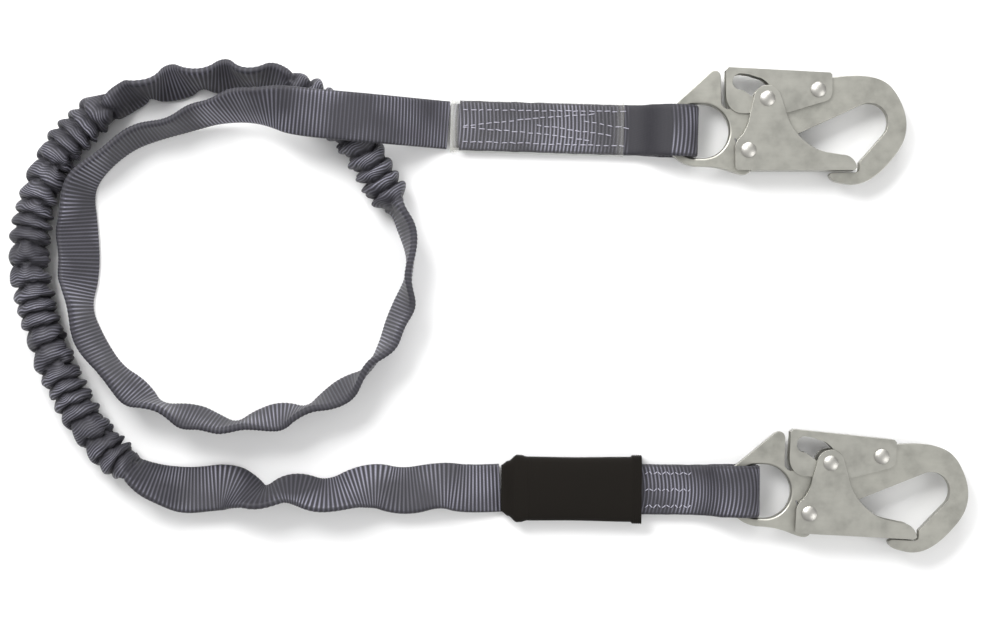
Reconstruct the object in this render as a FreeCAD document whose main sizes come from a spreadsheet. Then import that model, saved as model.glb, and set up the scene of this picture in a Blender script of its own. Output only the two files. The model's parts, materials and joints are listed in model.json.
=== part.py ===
import FreeCAD, Part
import math
import os
from FreeCAD import Placement, Rotation, Vector

# A shock absorbing lanyard lying on a flat surface: a tubular webbing jacket with an energy absorbing core
# inside it, a double-locking snap hook at each end, a clear sleeve over one sewn end and a label cover over
# the other. Millimetres, +Z up, the surface at Z = 0.

doc = FreeCAD.newDocument("ShockAbsorbingLanyard")
sheet = doc.addObject("Spreadsheet::Sheet", "Sizes")

SIZES = [
    # snap hook, measured from the middle of its eye, in the plane of its plate
    ("plate_thickness", 8.0, "forged hook body"),
    ("eye_radius", 15.4, "hole the webbing passes through"),
    ("eye_reach", 2.0, "how far the eye is stretched away from the hook"),
    ("eye_outer_radius", 19.95, "outside of the eye's ring"),
    ("eye_round", 1.5, "rounding of the eye's rims, which the webbing bears on"),
    ("seat_radius", 10.8, "bowl the anchor lies in"),
    ("seat_along", 95.0, "bowl's middle"),
    ("seat_across", 5.2, "bowl's middle"),
    ("gate_pivot_along", 26.0, ""),
    ("gate_pivot_across", -10.9, ""),
    ("lock_pivot_along", 65.8, ""),
    ("lock_pivot_across", 23.5, ""),
    ("pin_along", 36.8, "gate pin that the lock lever's slot holds"),
    ("pin_across", 18.3, ""),
    ("lock_inside", 8.8, "between the lock lever's cheeks"),
    ("lock_outside", 12.0, ""),
    ("gate_inside", 12.8, "between the gate's cheeks"),
    ("gate_outside", 16.4, ""),
    ("rivet_radius", 2.5, "gate and lock pivots"),
    ("rivet_play", 0.06, "radial, in the piece that turns"),
    ("rivet_head_radius", 4.3, ""),
    ("rivet_head_height", 1.9, ""),
    ("head_gap", 0.3, "between a pivot's head and the piece that turns under it"),
    ("pin_radius", 3.0, ""),
    ("roller_radius", 5.0, ""),
    ("roller_length", 8.2, ""),
    ("washer_radius", 3.7, ""),
    ("washer_thickness", 2.1, ""),
    ("spring_wire_radius", 0.4, ""),
    ("gate_spring_radius", 4.6, ""),
    ("gate_spring_pitch", 0.85, ""),
    ("gate_spring_height", 1.06, ""),
    ("lock_spring_radius", 2.1, ""),
    ("lock_spring_pitch", 2.1, ""),
    ("lock_spring_height", 15.75, ""),
    # webbing
    ("webbing_width", 30.0, "flat width of the tubular jacket"),
    ("jacket_thickness", 5.0, "jacket with its core, lying flat"),
    ("jacket_wall", 1.2, "one face of the jacket"),
    ("core_width", 22.0, ""),
    ("core_thickness", 1.8, ""),
    ("gather_radius", 12.0, "jacket pushed up into folds"),
    ("gather_bore_radius", 9.0, ""),
    ("gather_core_radius", 4.0, "core folded up inside the gathers"),
    ("end_thickness", 3.2, "one layer of the sewn end"),
    ("end_width", 28.6, ""),
    ("loop_width", 24.0, "sewn end where it passes through the eye"),
    ("pad_thickness", 1.0, "wear pad inside the loop"),
    ("pad_width", 18.0, ""),
    ("sleeve_wall", 0.5, ""),
    ("sleeve_length", 99.0, ""),
    ("cover_length", 80.0, ""),
    ("cover_width", 40.0, ""),
    ("cover_height", 13.0, ""),
    ("cover_wall", 1.3, ""),
    ("thread_height", 0.5, "stitching standing on the webbing"),
    ("row_width", 4.4, "one row of zigzag stitches"),
]

for row, (alias, value, meaning) in enumerate(SIZES, start=1):
    sheet.set(f"A{row}", alias.replace("_", " "))
    sheet.set(f"B{row}", str(value))
    sheet.set(f"C{row}", meaning)
    sheet.setAlias(f"B{row}", alias)
doc.recompute()


def size(alias):
    return float(sheet.get(alias))


# Where each hook's eye lies, in the plane of the surface, and how the hook and its sewn end are turned.
HOOKS = {
    "a": {"eye": (121.6, 101.1), "turn": 0.0, "webbing_turn": -1.6},
    "b": {"eye": (156.6, -103.7), "turn": -3.0, "webbing_turn": -0.5},
}
# The hook lies on the heads of its gate rivet.
HOOK_MIDDLE = size("gate_outside") / 2 + size("head_gap") + size("rivet_head_height")
# The ring of the eye, where the loop of webbing lets the hook swing, measured back from the eye's middle.
SWING_PIVOT = size("eye_reach") + (size("eye_radius") + size("eye_outer_radius")) / 2

parts = []


# ---------------------------------------------------------------- making sketches and bodies


def new_body(name):
    body = doc.addObject("PartDesign::Body", name)
    body.Label = name
    parts.append(body)
    return body


def new_sketch(body, plane, name, edges, lift=0.0):
    """A closed sketch on one of the body's own origin planes, lifted along the plane's normal."""
    sketch = body.newObject("Sketcher::SketchObject", name)
    support = next(f for f in body.Origin.OriginFeatures if f.Role == plane)
    sketch.AttachmentSupport = [(support, "")]
    sketch.MapMode = "FlatFace"
    sketch.AttachmentOffset = Placement(Vector(0, 0, lift), Rotation())
    sketch.addGeometry(edges, False)
    return sketch


def pad(body, sketch, length, symmetric=True):
    """Length is an expression on the sheet."""
    feature = body.newObject("PartDesign::Pad", sketch.Name + "Pad")
    feature.Profile = sketch
    feature.SideType = "Symmetric" if symmetric else "One side"
    feature.setExpression("Length", length)
    return feature


def pocket(body, sketch, length=None, symmetric=True):
    """Cuts the sketch out of the body: all the way through, or to a length given as an expression."""
    feature = body.newObject("PartDesign::Pocket", sketch.Name + "Pocket")
    feature.Profile = sketch
    if length is None:
        feature.Type = "ThroughAll"
        feature.SideType = "Symmetric"
        return feature
    feature.SideType = "Symmetric" if symmetric else "One side"
    feature.Reversed = not symmetric
    feature.setExpression("Length", length)
    return feature


def circle(along, across, radius):
    return Part.Circle(Vector(along, across, 0), Vector(0, 0, 1), radius)


def smooth(*points, leaving=None, arriving=None):
    """An outline's step: a smooth curve on through the points. It runs on from the step before it and into
    the straight line after it, unless a heading is given for that end."""
    return {"points": points, "leaving": leaving, "arriving": arriving}


def outline(steps):
    """Closed outline. A step is a point, a pair (one that an arc passes, and its end) or a smooth curve."""
    edges = []
    last = Vector(*steps[0], 0)
    heading = None
    for step, following in zip(steps[1:] + steps[:1], steps[2:] + steps[:2]):
        if isinstance(step, dict):
            points = [last] + [Vector(*p, 0) for p in step["points"]]
            end = points[-1]
            leaving = Vector(*step["leaving"], 0) if step["leaving"] else heading
            arriving = Vector(*step["arriving"], 0) if step["arriving"] else Vector(*following, 0) - end
            curve = Part.BSplineCurve()
            # Unit tangents, not scaled ones: scaled, a short last step overshoots its point and doubles back.
            curve.interpolate(Points=points, InitialTangent=leaving.normalize(),
                              FinalTangent=arriving.normalize(), Scale=False)
            edges.append(curve)
        elif isinstance(step[0], tuple):
            through, end = (Vector(*p, 0) for p in step)
            edges.append(Part.Arc(last, through, end))
        else:
            end = Vector(*step, 0)
            if end.distanceToPoint(last) < 1e-6:
                break
            edges.append(Part.LineSegment(last, end))
            heading = end - last
        last = end
    return edges


def rectangle(low, high):
    return outline([low, (high[0], low[1]), high, (low[0], high[1])])


# ---------------------------------------------------------------- routes of webbing


def route_legs(points, name):
    """Straight runs joined by tangent arcs, each arc as large as its two runs allow."""
    points = [Vector(*p) for p in points]
    legs = []
    start = points[0]
    radii = []
    for before, corner, after in zip(points, points[1:], points[2:]):
        into = (corner - before).normalize()
        out = (after - corner).normalize()
        turn = into.getAngle(out)
        reach = 0.45 * min((corner - before).Length, (after - corner).Length)
        radius = reach / math.tan(turn / 2)
        radii.append(radius)
        arc_start = corner - into * reach
        arc_end = corner + out * reach
        inward = (out - into).normalize()
        centre = corner + inward * (radius / math.cos(turn / 2))
        middle = centre - inward * radius
        legs.append((start, arc_start))
        legs.append((arc_start, middle, arc_end))
        start = arc_end
    legs.append((start, points[-1]))
    print(f"{name}: arc radii {min(radii):.0f} to {max(radii):.0f} mm:", [round(r) for r in radii])
    return legs


def leg_edge(leg):
    return Part.LineSegment(*leg) if len(leg) == 2 else Part.Arc(*leg)


def route_wire(points, name):
    return Part.Wire([leg_edge(leg).toShape() for leg in route_legs(points, name)])


def ribbon(points, thickness, name):
    """Outline of a strip of that thickness whose middle follows the points, in the sketch's plane."""
    half = thickness / 2
    sides = {1: [], -1: []}
    for leg in route_legs(points, name):
        curve = leg_edge(leg)
        ends = []
        first, last = curve.FirstParameter, curve.LastParameter
        for where in (first, (first + last) / 2, last):
            ends.append((curve.value(where), Vector(*curve.tangent(where)[0])))
        if ends[0][0].distanceToPoint(leg[0]) > ends[0][0].distanceToPoint(leg[-1]):
            ends.reverse()
        heading = leg[-1] - leg[0]
        for side, edges in sides.items():
            moved = []
            for point, along in ends:
                if along.dot(heading) < 0:
                    along = along * -1
                moved.append(point + Vector(-along.y, along.x, 0) * (side * half))
            edges.append(Part.LineSegment(moved[0], moved[2]) if len(leg) == 2 else Part.Arc(*moved))
    left, right = sides[1], sides[-1]
    caps = [
        Part.LineSegment(left[0].StartPoint, right[0].StartPoint),
        Part.LineSegment(left[-1].EndPoint, right[-1].EndPoint),
    ]
    return left + right + caps


# ---------------------------------------------------------------- snap hooks


def hook_placement(end):
    hook = HOOKS[end]
    return Placement(Vector(*hook["eye"], HOOK_MIDDLE), Rotation(Vector(0, 0, 1), hook["turn"]))


def on_hook(end, place, rotation=Rotation()):
    """Placement of a piece that stands at a place measured from the middle of the hook's eye."""
    return hook_placement(end).multiply(Placement(place, rotation))


HOOK_OUTLINE = [
    (-15.48, 14.71),
    (4.7, 33.2),
    smooth((8.5, 34.3), (10.7, 30.7)),
    (11.0, 17.0),
    smooth((12.2, 13.9), (15.0, 12.6)),
    (52.0, 12.6),
    smooth((56.6, 15.6), (58.9, 23.4), (64.5, 28.4), (74.4, 30.6), (84.0, 31.5), (94.0, 31.2), (105.2, 27.2),
           (112.6, 17.4), (116.1, 6.0), (114.7, -5.2), (107.8, -16.1), (98.4, -25.4), (92.0, -29.0),
           (85.3, -30.2), (78.2, -29.2), (73.2, -26.9), (72.4, -24.6), (74.4, -23.5)),
    (87.0, -23.5),
    ((88.63, -22.83), (89.3, -21.2)),
    (89.3, -17.6),
    (103.1, -1.94),
    ((105.8, 5.2), (90.5, 15.02)),
    (35.19, -10.38),
    ((32.7, -17.2), (27.4, -20.0)),
    (27.4, -22.3),
    smooth((25.8, -24.2), (22.9, -24.6), (17.4, -23.2), (12.0, -21.5), (4.6, -20.2), (-2.0, -19.95),
           arriving=(-1.0, 0.0)),
    ((-21.95, 0.0), (-15.48, 14.71)),
]


def hook_body(end):
    """Forged plate: eye, spine, bowl, nose and the heel that stops the gate."""
    body = new_body(f"hook_body_{end}")
    plate = new_sketch(body, "XY_Plane", f"HookPlate{end}", outline(HOOK_OUTLINE))
    pad(body, plate, "Sizes.plate_thickness")
    reach, radius = size("eye_reach"), size("eye_radius")
    eye_outline = outline([(-reach, radius), (0, radius), ((radius, 0), (0, -radius)), (-reach, -radius),
                           ((-reach - radius, 0), (-reach, radius))])
    pocket(body, new_sketch(body, "XY_Plane", f"Eye{end}", eye_outline))
    holes = [
        circle(size("gate_pivot_along"), size("gate_pivot_across"), size("rivet_radius")),
        circle(size("lock_pivot_along"), size("lock_pivot_across"), size("rivet_radius")),
    ]
    drilled = pocket(body, new_sketch(body, "XY_Plane", f"PivotHoles{end}", holes))
    doc.recompute()
    rims = [f"Edge{n}" for n, edge in enumerate(drilled.Shape.Edges, start=1) if is_eye_rim(edge)]
    rounded = body.newObject("PartDesign::Fillet", f"EyeRims{end}")
    rounded.Base = (drilled, rims)
    rounded.setExpression("Radius", "Sizes.eye_round")
    return body


def is_eye_rim(edge):
    """An edge in a face of the plate that lies within the eye's own outline."""
    box = edge.BoundBox
    radius = size("eye_radius") + 0.1
    in_face = box.ZLength < 1e-6 and abs(box.ZMin) > 1.0
    return in_face and max(-box.XMin - size("eye_reach"), box.XMax, -box.YMin, box.YMax) < radius


GATE_OUTLINE = [
    (18.5, -21.0),
    (18.5, -9.5),
    ((19.5, -6.0), (21.9, -3.0)),
    ((25.2, 2.6), (26.8, 9.2)),
    (29.0, 18.2),
    ((36.4, 25.9), (44.6, 19.6)),
    (47.1, 12.1),
    ((51.2, 1.8), (58.7, -6.4)),
    ((64.8, -10.4), (71.9, -12.4)),
    (79.1, -13.6),
    ((85.2, -16.1), (87.6, -21.0)),
    (86.2, -22.4),
    (20.0, -22.4),
]
GATE_FOLD_START = 28.2
GATE_FOLD_INSIDE = -20.6


def gate(end):
    """Sheet folded along its lower edge into two cheeks that straddle the hook and the lock lever."""
    body = new_body(f"gate_{end}")
    pad(body, new_sketch(body, "XY_Plane", f"GateSheet{end}", outline(GATE_OUTLINE)), "Sizes.gate_outside")
    channel = outline([(0, -40), (GATE_FOLD_START, -40), (GATE_FOLD_START, GATE_FOLD_INSIDE),
                       (100, GATE_FOLD_INSIDE), (100, 40), (0, 40)])
    pocket(body, new_sketch(body, "XY_Plane", f"GateChannel{end}", channel), "Sizes.gate_inside")
    turning = size("rivet_radius") + size("rivet_play")
    holes = [
        circle(size("gate_pivot_along"), size("gate_pivot_across"), turning),
        circle(size("pin_along"), size("pin_across"), size("pin_radius")),
    ]
    pocket(body, new_sketch(body, "XY_Plane", f"GateHoles{end}", holes))
    return body


LOCK_OUTLINE = [
    (13.5, 34.6),
    (15.2, 36.2),
    (72.6, 33.2),
    (73.8, 32.0),
    (73.8, 22.6),
    smooth((72.9, 19.2), (70.2, 17.0), (66.4, 15.8)),
    (50.6, 10.9),
    smooth((47.0, 10.2), (42.0, 10.0)),
    (24.0, 10.0),
    smooth((19.0, 10.8), (15.2, 14.2), (13.5, 20.5)),
]
# The pin rests in the slot's lower corner and runs up its length as the lever is pressed and the gate opens.
LOCK_SLOT = [
    (34.8, 15.3),
    (22.6, 23.4),
    ((17.2, 27.4), (21.7, 32.7)),
    (26.3, 32.1),
    (33.2, 30.0),
    ((38.3, 25.6), (40.4, 18.3)),
    ((38.5, 15.2), (34.8, 15.3)),
]
LOCK_FOLD_INSIDE = ((5.0, 35.1), (80.0, 31.2))


def lock_lever(end):
    """Sheet folded along its top edge. Its slot holds the gate's pin until the lever is pressed."""
    body = new_body(f"lock_lever_{end}")
    pad(body, new_sketch(body, "XY_Plane", f"LockSheet{end}", outline(LOCK_OUTLINE)), "Sizes.lock_outside")
    left, right = LOCK_FOLD_INSIDE
    channel = outline([(left[0], 0), left, right, (right[0], 0)])
    pocket(body, new_sketch(body, "XY_Plane", f"LockChannel{end}", channel), "Sizes.lock_inside")
    pocket(body, new_sketch(body, "XY_Plane", f"LockSlot{end}", outline(LOCK_SLOT)))
    turning = size("rivet_radius") + size("rivet_play")
    hole = circle(size("lock_pivot_along"), size("lock_pivot_across"), turning)
    pocket(body, new_sketch(body, "XY_Plane", f"LockHole{end}", [hole]))
    return body


def domed_rivet(name, end, along, across, shank_radius, seat):
    """Shank with a domed head at each end. Seat is how far from the plate's middle the heads start."""
    head, height = size("rivet_head_radius"), size("rivet_head_height")
    rim = seat + 0.25 * height
    rise = 0.75 * height
    dome = (head * head + rise * rise) / (2 * rise)
    half_way = math.asin(head / dome) / 2
    shoulder = (dome * math.sin(half_way), seat + height - dome * (1 - math.cos(half_way)))
    steps = [(0, -seat - height), ((shoulder[0], -shoulder[1]), (head, -rim)), (head, -seat),
             (shank_radius, -seat), (shank_radius, seat), (head, seat), (head, rim),
             (shoulder, (0, seat + height))]
    body = new_body(f"{name}_{end}")
    profile = new_sketch(body, "XZ_Plane", f"Profile_{name}_{end}", outline(steps))
    turned = body.newObject("PartDesign::Revolution", f"Turned_{name}_{end}")
    turned.Profile = profile
    turned.ReferenceAxis = (profile, ["V_Axis"])
    turned.Angle = 360
    body.Placement = on_hook(end, Vector(size(along), size(across), 0))
    return body


def ring_stack(name, end, along, across, inner, outer, levels, length):
    """Flat rings on one axis, each standing on one of the levels: separate solids in one node."""
    rings = []
    for level in levels:
        tube = Part.makeCylinder(outer, length, Vector(0, 0, level))
        rings.append(tube.cut(Part.makeCylinder(inner, length, Vector(0, 0, level))))
    group = doc.addObject("Part::Feature", f"{name}_{end}")
    group.Label = f"{name}_{end}"
    group.Shape = rings[0] if len(rings) == 1 else Part.makeCompound(rings)
    group.Placement = on_hook(end, Vector(size(along), size(across), 0))
    parts.append(group)


def coil(helix, radius, wire):
    """Wire wound along a helix that starts on X."""
    start = Part.Wire([Part.Circle(Vector(radius, 0, 0), Vector(0, 1, 0), wire).toShape()])
    return Part.Wire(helix).makePipeShell([start], True, True)


GATE_SPRING_LEGS = (9.0, 14.0)
GATE_SPRING_START = 200.0  # degrees round the rivet where the first leg leaves
WIRE_CLEARANCE = 1.2  # the coil's lowest turn above the plate, in wire radii


def gate_spring(end):
    """Torsion spring round the gate's rivet: a coil with a straight leg at each end."""
    radius, wire = size("gate_spring_radius"), size("spring_wire_radius")
    height, pitch = size("gate_spring_height"), size("gate_spring_pitch")
    last = 2 * math.pi * height / pitch
    turns = coil(Part.makeLongHelix(pitch, height, radius), radius, wire)
    first_leg = Part.makeCylinder(wire, GATE_SPRING_LEGS[0], Vector(radius, 0, 0), Vector(0, -1, 0))
    tip = Vector(radius * math.cos(last), radius * math.sin(last), height)
    onward = Vector(-math.sin(last), math.cos(last), 0)
    last_leg = Part.makeCylinder(wire, GATE_SPRING_LEGS[1], tip, onward)
    spring = doc.addObject("Part::Feature", f"gate_spring_{end}")
    spring.Label = f"gate_spring_{end}"
    spring.Shape = turns.fuse([first_leg, last_leg]).removeSplitter()
    above_plate = size("plate_thickness") / 2 + WIRE_CLEARANCE * wire
    pivot = Vector(size("gate_pivot_along"), size("gate_pivot_across"), above_plate)
    spring.Placement = on_hook(end, pivot, Rotation(Vector(0, 0, 1), GATE_SPRING_START))
    parts.append(spring)


LOCK_SPRING_ALONG = 50.0
UNDER_LOCK_FOLD = 32.75  # how far across the fold's inside lies above the spring


def lock_spring(end):
    """Compression spring under the lock lever's fold."""
    spring = doc.addObject("Part::Feature", f"lock_spring_{end}")
    spring.Label = f"lock_spring_{end}"
    wire = size("spring_wire_radius")
    height, radius = size("lock_spring_height"), size("lock_spring_radius")
    spring.Shape = coil(Part.makeHelix(size("lock_spring_pitch"), height, radius), radius, wire)
    under_fold = Vector(LOCK_SPRING_ALONG, UNDER_LOCK_FOLD - wire - height, 0)
    spring.Placement = on_hook(end, under_fold, Rotation(Vector(1, 0, 0), -90))
    parts.append(spring)


def snap_hook(end):
    for piece in (hook_body(end), gate(end), lock_lever(end)):
        piece.Placement = hook_placement(end)
    pivot = ("gate_pivot_along", "gate_pivot_across")
    gap = size("head_gap")
    domed_rivet("gate_rivet", end, *pivot, size("rivet_radius"), size("gate_outside") / 2 + gap)
    domed_rivet("gate_pin", end, "pin_along", "pin_across", size("pin_radius"), size("gate_outside") / 2)
    domed_rivet("lock_rivet", end, "lock_pivot_along", "lock_pivot_across", size("rivet_radius"),
                size("lock_outside") / 2 + gap)
    plate = size("plate_thickness") / 2
    washer = size("washer_thickness")
    ring_stack("pivot_washers", end, *pivot, size("rivet_radius"), size("washer_radius"),
               (plate, -plate - washer), washer)
    roller = size("roller_length")
    ring_stack("pin_roller", end, "pin_along", "pin_across", size("pin_radius"), size("roller_radius"),
               (-roller / 2,), roller)
    gate_spring(end)
    lock_spring(end)


for end in HOOKS:
    snap_hook(end)


# ---------------------------------------------------------------- sewn ends

END_REACH = {"a": -143.0, "b": -149.0}
TAIL_END = {"a": -138.0, "b": -132.0}
STITCHED = {"a": (-134.0, -45.0), "b": (-68.0, -44.0)}
LAYER_GAP = 0.3
# Places along a sewn end, measured from the middle of the hook's eye.
LOOP_TIP = -3.4
LOOP_START = {"upper": -22.0, "lower": -23.0}
RISE_START = {"upper": -35.0, "lower": -33.0}
NARROW_FROM = -27.0
PAD_GAP = 1.0
PAD_START = -13.5
PAST_EDGE = 1.0  # how far a trimming cut reaches past the edge it trims
# The sleeve and the label cover wrap the sewn layers, so the layers lie this far above the surface there.
LIFT = {"a": size("sleeve_wall") + 0.3, "b": size("cover_wall") + 0.3}


def end_placement(end):
    hook = HOOKS[end]
    return Placement(Vector(*hook["eye"], 0), Rotation(Vector(0, 0, 1), hook["webbing_turn"]))


def sewn_end(end):
    """The jacket's end laid through the eye and back over itself: one strip seen from its side."""
    layer = size("end_thickness")
    low = layer / 2
    raised = low + LIFT[end]
    high = raised + layer + LAYER_GAP
    top = 2 * HOOK_MIDDLE - low
    side_view = [(TAIL_END[end], high), (RISE_START["upper"], high), (LOOP_START["upper"], top),
                 (LOOP_TIP, top), (LOOP_TIP, low), (LOOP_START["lower"], low),
                 (RISE_START["lower"], raised), (END_REACH[end], raised)]
    strip = ribbon(side_view, layer, f"sewn end {end}")
    body = new_body(f"sewn_end_{end}")
    pad(body, new_sketch(body, "XZ_Plane", f"SewnEnd{end}", strip), "Sizes.end_width")
    margin = (size("end_width") - size("loop_width")) / 2
    half = size("end_width") / 2
    for side, low_edge in (("Left", half - margin), ("Right", -half - PAST_EDGE)):
        trim = rectangle((NARROW_FROM, low_edge), (PAST_EDGE, low_edge + margin + PAST_EDGE))
        pocket(body, new_sketch(body, "XY_Plane", f"Trim{side}{end}", trim))
    body.Placement = end_placement(end)


def wear_pad(end):
    """Strip of webbing lining the inside of the loop where it rubs on the hook's eye."""
    layer, thin = size("end_thickness"), size("pad_thickness")
    inset = layer + PAD_GAP + thin / 2
    low, top = inset, 2 * HOOK_MIDDLE - inset
    tip = LOOP_TIP + layer / 2 - inset
    side_view = [(PAD_START, top), (tip, top), (tip, low), (PAD_START, low)]
    body = new_body(f"wear_pad_{end}")
    strip = ribbon(side_view, thin, f"wear pad {end}")
    pad(body, new_sketch(body, "XZ_Plane", f"WearPad{end}", strip), "Sizes.pad_width")
    body.Placement = end_placement(end)


def stitch_rows(end, rows, across_step):
    """Rows of zigzag thread, each row a low ridge: separate solids in one node."""
    start, stop = STITCHED[end]
    thread, width = size("thread_height"), size("row_width")
    level = LIFT[end] + 2 * size("end_thickness") + LAYER_GAP
    ridges = []
    for row in range(rows):
        middle = (row - (rows - 1) / 2) * across_step
        ridges.append(Part.makeBox(stop - start, width, thread, Vector(start, middle - width / 2, level)))
    group = doc.addObject("Part::Feature", f"stitching_{end}")
    group.Label = f"stitching_{end}"
    group.Shape = Part.makeCompound(ridges)
    group.Placement = end_placement(end)
    parts.append(group)


def flat_tube(name, start, length, width, height, wall):
    """Open-ended flat tube round a sewn end, along the webbing, lying on the surface."""
    outer = doc.addObject("Part::Box", name + "_outer")
    inner = doc.addObject("Part::Box", name + "_inner")
    outer.setExpression("Length", length)
    inner.setExpression("Length", length)
    outer.setExpression("Width", width)
    inner.setExpression("Width", f"{width} - 2 * {wall}")
    outer.setExpression("Height", height)
    inner.setExpression("Height", f"{height} - 2 * {wall}")
    doc.recompute()
    rim = (outer.Width.Value - inner.Width.Value) / 2
    outer.Placement.Base = Vector(start, -outer.Width.Value / 2, 0)
    inner.Placement.Base = Vector(start, -inner.Width.Value / 2, rim)
    tube = doc.addObject("Part::Cut", name)
    tube.Label = name
    tube.Base = outer
    tube.Tool = inner
    parts.append(tube)
    return tube


for end in HOOKS:
    sewn_end(end)
    wear_pad(end)
stitch_rows("a", rows=4, across_step=6.4)
stitch_rows("b", rows=3, across_step=9.4)

OVERHANG = 0.2  # the sleeve and the cover reach this far past the end they wrap
sleeve = flat_tube("clear_sleeve", END_REACH["a"] - OVERHANG, "Sizes.sleeve_length", "Sizes.end_width + 3",
                   "2 * Sizes.end_thickness + 2.8", "Sizes.sleeve_wall")
sleeve.Placement = end_placement("a")
cover = flat_tube("label_cover", END_REACH["b"] - OVERHANG, "Sizes.cover_length", "Sizes.cover_width",
                  "Sizes.cover_height", "Sizes.cover_wall")
cover.Placement = end_placement("b")


def group_of_solids(name, solids, placement):
    group = doc.addObject("Part::Feature", name)
    group.Label = name
    group.Shape = Part.makeCompound(solids)
    group.Placement = placement
    parts.append(group)


PAGE = (63.0, 28.0, 0.5)
PAGE_STEP = 0.8
PAGES_GAP = 0.5  # between the webbing and the lowest page
PAGES = 4
PAGES_START = -138.0
STRIP = (62.0, 2.0, 3.6)
STRIPS_START = -137.5
STRIP_ACROSS = 16.0
STRIP_LEVEL = 2.0


def label_pieces():
    """Folded label pages inside the cover, and the hook-and-loop strips that close it."""
    lowest = LIFT["b"] + 2 * size("end_thickness") + LAYER_GAP + PAGES_GAP
    pages = []
    for page in range(PAGES):
        pages.append(Part.makeBox(*PAGE, Vector(PAGES_START, -PAGE[1] / 2, lowest + PAGE_STEP * page)))
    strips = []
    for side in (1, -1):
        inner_edge = side * STRIP_ACROSS - STRIP[1] / 2
        strips.append(Part.makeBox(*STRIP, Vector(STRIPS_START, inner_edge, STRIP_LEVEL)))
    group_of_solids("label_pages", pages, end_placement("b"))
    group_of_solids("closure_strips", strips, end_placement("b"))


label_pieces()

# ---------------------------------------------------------------- the jacket and its core

WIDTH = size("webbing_width")
THICK = size("jacket_thickness")
WALL = size("jacket_wall")
GATHERED = size("gather_radius") + 0.3  # height of the gathers' middle
CROSSING_GAP = 3.7
CROSSING = 2 * GATHERED + CROSSING_GAP + THICK / 2  # where the flat top run passes over the gathers

# The top run leaves the sleeve flat, climbs over the gathers and turns up on its edge. The rest stands on
# its edge round the loop, dives under the top run as gathers, comes back on its edge, goes round the outside
# as gathers again and ends flat under the label cover. Each stretch ends half way along a straight run.
SLEEVE_END = (-22.8, 105.2)
TOP_TURN = -4.9
TOP_SIDE_VIEW = [(0.0, 3.4), (-7.0, 3.4), (-40.0, CROSSING - 0.6), (-83.6, CROSSING)]
# plan position of the middle, height of the middle, tilt in degrees
TWIST = [
    (-106.4, 112.4, CROSSING, 0),
    (-123.1, 115.4, 29.0, 30),
    (-138.5, 115.8, 23.5, 50),
    (-154.5, 114.0, 18.5, 66),
    (-169.0, 110.6, 16.0, 79),
    (-186.4, 106.0, 15.0, 90),
]
LOOP_ROUTE = [
    (-186.4, 106.0), (-207.1, 98.0), (-225.5, 83.4), (-234.3, 65.8), (-237.0, 44.5), (-236.2, 21.7),
    (-233.5, 1.4), (-225.5, -20.4), (-213.6, -39.0), (-200.0, -49.5), (-188.2, -56.4), (-169.1, -61.5),
    (-155.0, -65.6), (-143.6, -66.6), (-131.1, -64.6), (-117.4, -61.4), (-103.7, -58.0), (-90.5, -52.5),
    (-80.5, -44.9), (-69.0, -35.5), (-58.4, -22.2), (-49.0, -1.8), (-44.4, 17.3), (-44.2, 32.2),
    (-46.2, 46.2), (-50.2, 55.7), (-55.2, 63.2),
]
UNDER_ROUTE = [(-55.4, 63.5), (-60.2, 70.7), (-66.1, 82.1), (-75.8, 96.6), (-89.1, 112.0), (-103.3, 121.5),
               (-113.0, 126.8)]
RETURN_ROUTE = [(-113.2, 126.9), (-121.6, 131.5), (-134.8, 131.4), (-148.1, 133.4), (-164.2, 130.0),
                (-180.1, 129.4), (-193.8, 124.8), (-203.4, 121.8), (-210.6, 117.8)]
OUTER_ROUTE = [
    (-210.8, 117.6), (-222.3, 111.4), (-231.4, 103.2), (-239.4, 94.6), (-246.1, 84.9), (-250.7, 74.7),
    (-254.7, 65.0), (-257.6, 55.3), (-259.9, 45.0), (-261.0, 33.6), (-260.8, 22.2), (-259.0, 10.8),
    (-256.5, -0.6), (-253.7, -9.1), (-250.3, -19.7), (-244.6, -34.8), (-236.0, -51.9), (-229.4, -62.8),
    (-221.9, -74.2), (-212.6, -84.6), (-206.0, -89.4),
]
BOTTOM_ROUTE = [
    (-205.2, -90.1), (-196.9, -95.2), (-184.8, -100.1), (-170.6, -103.0), (-152.8, -102.2),
    (-138.4, -104.0), (-124.3, -105.6), (-108.2, -103.4), (-94.8, -105.2), (-76.2, -102.4), (-53.6, -103.4),
    (-29.6, -101.4), (-13.1, -102.5), (6.6, -102.4),
]


def flat_shape(route, thickness, height, level, name):
    """Prism of a ribbon that lies in the plane of the surface."""
    strip = Part.Face(Part.Wire(Part.__sortEdges__([e.toShape() for e in ribbon(route, thickness, name)])))
    strip.translate(Vector(0, 0, level))
    return strip.extrude(Vector(0, 0, height))


def ribbon_jacket(name, route, thickness, height, placement=Placement(), plane="XY_Plane"):
    """A stretch of flat tube as a body: the outside padded, the hollow pocketed from end to end."""
    body = new_body(name)
    on_floor = plane == "XY_Plane"
    outside = new_sketch(body, plane, "Outside_" + name, ribbon(route, thickness, name))
    pad(body, outside, height, symmetric=not on_floor)
    doc.recompute()
    wall = size("jacket_wall")
    hollow_edges = ribbon(route, thickness - 2 * wall, name + " hollow")
    hollow = new_sketch(body, plane, "Hollow_" + name, hollow_edges, lift=wall if on_floor else 0.0)
    pocket(body, hollow, f"{height} - 2 * Sizes.jacket_wall", symmetric=not on_floor)
    body.Placement = placement
    return body


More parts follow.
